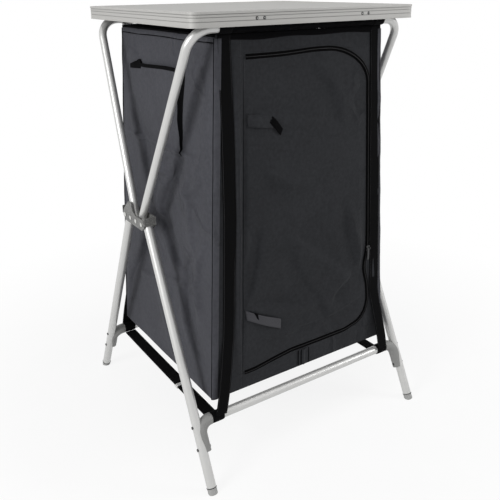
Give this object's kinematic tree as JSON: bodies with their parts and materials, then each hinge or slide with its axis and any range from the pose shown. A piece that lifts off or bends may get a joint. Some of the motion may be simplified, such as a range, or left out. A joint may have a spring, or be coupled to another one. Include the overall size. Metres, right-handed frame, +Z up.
{
  "type": "folding camping kitchen unit",
  "caption": "Folding camp kitchen unit: a lift-off table panel on a crossed tube frame, over a zipped fabric cupboard with shelves and a side pocket.",
  "frame": {"origin": "on the floor, under the middle of the tabletop", "axes": "+Z up; -Y towards the zipped door; +X to the right as seen facing the door"},
  "size_m": [0.6518, 0.6604, 1.04],
  "materials": {
    "laminate": "satin laminate, warm grey",
    "edge_aluminium": "satin, grooved",
    "frame_tube": "satin silver paint",
    "hinge_shell": "fine speckled grey",
    "grey_plastic": "fine grain",
    "black_plastic": "matt",
    "rivet_steel": "bright",
    "dark_rivet": "dark satin",
    "side_cloth": "plain weave, dark grey",
    "front_cloth": "plain weave, charcoal",
    "webbing": "ribbed webbing, black",
    "zip_coil": "black coil",
    "light_ribbon": "light grey ribbon",
    "zip_metal": "dark",
    "white_plastic": "white"
  },
  "bodies": {
    "hinge_brackets": {"left_bracket_outer": "hinge_shell", "left_bracket_inner": "hinge_shell", "left_bracket_pins": "rivet_steel", "right_bracket_outer": "hinge_shell", "right_bracket_inner": "hinge_shell", "right_bracket_pins": "rivet_steel"},
    "lower_front_frame": {"front_leg_left": "frame_tube", "front_leg_right": "frame_tube", "front_crossbar": "frame_tube", "front_elbow_left": "grey_plastic", "front_elbow_right": "grey_plastic", "front_elbow_rivets": "dark_rivet", "front_foot_caps": "grey_plastic", "front_crossbar_loops": "webbing"},
    "lower_rear_frame": {"rear_leg_left": "frame_tube", "rear_leg_right": "frame_tube", "rear_crossbar": "frame_tube", "rear_elbow_left": "grey_plastic", "rear_elbow_right": "grey_plastic", "rear_elbow_rivets": "dark_rivet", "rear_foot_caps": "grey_plastic", "rear_crossbar_loops": "webbing"},
    "upper_front_frame": {"front_upper_tube_left": "frame_tube", "front_upper_tube_right": "frame_tube", "front_top_bar": "frame_tube", "front_top_sleeve": "webbing", "front_top_bar_loops": "webbing"},
    "upper_rear_frame": {"rear_upper_tube_left": "frame_tube", "rear_upper_tube_right": "frame_tube", "rear_top_bar": "frame_tube", "rear_top_sleeve": "webbing", "rear_top_bar_loops": "webbing"},
    "tabletop": {"tabletop_board": "laminate", "tabletop_edge_frame": "edge_aluminium", "front_bar_clips": "black_plastic", "rear_bar_clips": "black_plastic", "clip_rivets": "dark_rivet"},
    "fabric_box": {"left_side_wall": "side_cloth", "right_side_wall": "side_cloth", "side_hems": "webbing", "side_straps": "webbing", "floor_deck": "side_cloth", "shelf_deck_1": "side_cloth", "shelf_deck_2": "side_cloth", "side_pocket": "side_cloth", "pocket_binding": "webbing"},
    "front_panel": {"front_panel": "front_cloth", "front_straps": "webbing", "zip_tape_panel": "zip_coil", "zip_garage": "webbing"},
    "door": {"door_panel": "front_cloth", "zip_tape_door": "zip_coil", "door_ties": "light_ribbon"},
    "zip_slider": {"zip_slider": "zip_metal"},
    "zip_pull": {"zip_pull": "zip_metal"},
    "rear_panel": {"rear_panel": "front_cloth", "rear_straps": "webbing"},
    "strap_buckles": {"side_strap_buckles": "white_plastic"}
  },
  "joints": [
    {"name": "frame_fold", "type": "hinge", "parent": "hinge_brackets", "child": "lower_front_frame", "pos_m": [0, -0.04575, 0.567], "axis": [1, 0, 0], "range_deg": [0, 25.81], "deforming": ["left_side_wall", "right_side_wall", "side_hems", "side_straps", "floor_deck", "shelf_deck_1", "shelf_deck_2", "side_pocket", "pocket_binding"]},
    {"name": "lower_rear_fold", "type": "hinge", "parent": "hinge_brackets", "child": "lower_rear_frame", "pos_m": [0, 0.04575, 0.567], "axis": [-1, 0, 0], "range_deg": [0, 25.81]},
    {"name": "upper_front_fold", "type": "hinge", "parent": "hinge_brackets", "child": "upper_front_frame", "pos_m": [0, -0.01525, 0.567], "axis": [-1, 0, 0], "range_deg": [0, 26.18]},
    {"name": "upper_rear_fold", "type": "hinge", "parent": "hinge_brackets", "child": "upper_rear_frame", "pos_m": [0, 0.01525, 0.567], "axis": [1, 0, 0], "range_deg": [0, 26.18]},
    {"name": "tabletop_lift", "type": "slide", "parent": "hinge_brackets", "child": "tabletop", "axis": [0, 0, 1], "range_m": [0, 0.1086]},
    {"name": "fabric_sink", "type": "slide", "parent": "hinge_brackets", "child": "fabric_box", "axis": [0, 0, -1], "range_m": [0, 0.0475]},
    {"name": "front_panel_draw", "type": "slide", "parent": "fabric_box", "child": "front_panel", "axis": [0, 1, 0], "range_m": [0, 0.2056]},
    {"name": "rear_panel_draw", "type": "slide", "parent": "fabric_box", "child": "rear_panel", "axis": [0, -1, 0], "range_m": [0, 0.2056]},
    {"name": "buckle_draw", "type": "slide", "parent": "fabric_box", "child": "strap_buckles", "axis": [0, 1, 0], "range_m": [0, 0.0683]},
    {"name": "door_swing", "type": "hinge", "parent": "front_panel", "child": "door", "pos_m": [-0.15787, -0.22904, 0.949], "axis": [-0.0332, -0.0222, -0.9992], "range_deg": [0, 120]},
    {"name": "zip_run", "type": "slide", "parent": "door", "child": "zip_slider", "axis": [-0.0397, 0.0222, 0.999], "range_m": [0, 0.4]},
    {"name": "zip_pull_swing", "type": "hinge", "parent": "zip_slider", "child": "zip_pull", "pos_m": [0.20352, -0.24562, 0.45012], "axis": [-1, 0, 0], "range_deg": [0, 150]}
  ],
  "couplings": [
    {"joint": "lower_rear_fold", "follows": "frame_fold", "ratio": 1},
    {"joint": "upper_front_fold", "follows": "frame_fold", "ratio": 1.014},
    {"joint": "upper_rear_fold", "follows": "frame_fold", "ratio": 1.014},
    {"joint": "tabletop_lift", "follows": "frame_fold", "m_per_rad": 0.24},
    {"joint": "fabric_sink", "follows": "frame_fold", "m_per_rad": 0.1043},
    {"joint": "front_panel_draw", "follows": "frame_fold", "m_per_rad": 0.4553},
    {"joint": "rear_panel_draw", "follows": "frame_fold", "m_per_rad": 0.4553},
    {"joint": "buckle_draw", "follows": "frame_fold", "m_per_rad": 0.1504}
  ]
}
